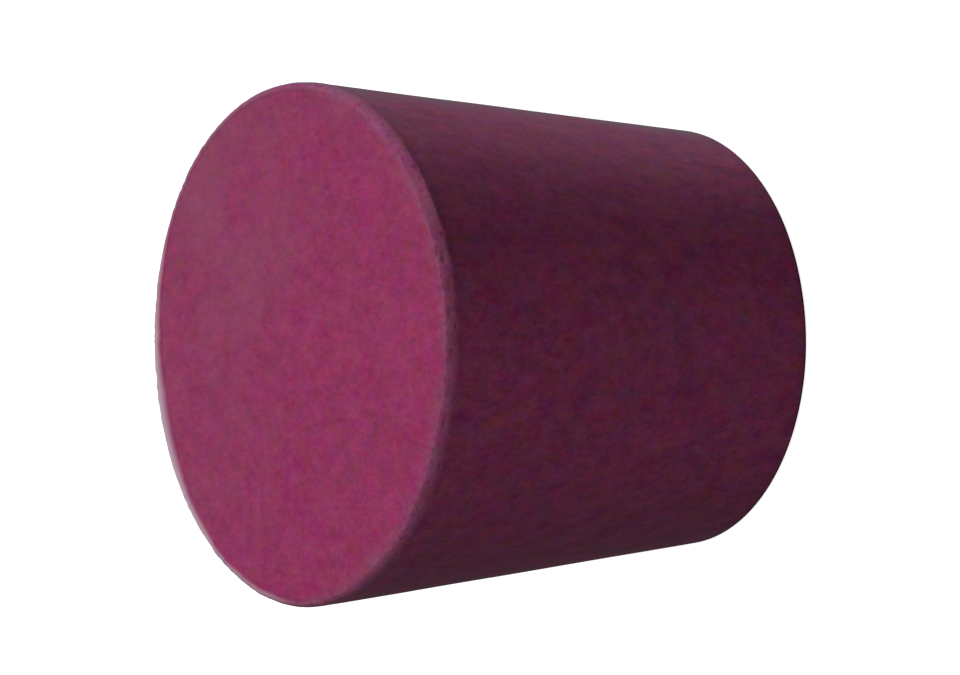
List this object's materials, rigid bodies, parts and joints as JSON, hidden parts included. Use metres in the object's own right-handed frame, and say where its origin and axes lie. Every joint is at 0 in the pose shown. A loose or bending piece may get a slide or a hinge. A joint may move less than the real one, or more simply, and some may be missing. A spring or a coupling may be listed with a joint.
{
  "type": "rubber stopper",
  "caption": "Tapered solid rubber plug with flat ends and a trimmed rim band, for closing the neck of a flask, tube or bottle.",
  "frame": {"origin": "middle of the flat of the small end, on which the stopper stands", "axes": "+Z along the stopper's own axis, from the small end up to the large end; X and Y are free, because it is round"},
  "size_m": [0.038, 0.038, 0.035],
  "materials": {
    "rubber": "matt raspberry to plum moulded rubber with a faint dusty bloom"
  },
  "bodies": {
    "root": {"stopper": "rubber"}
  },
  "joints": []
}
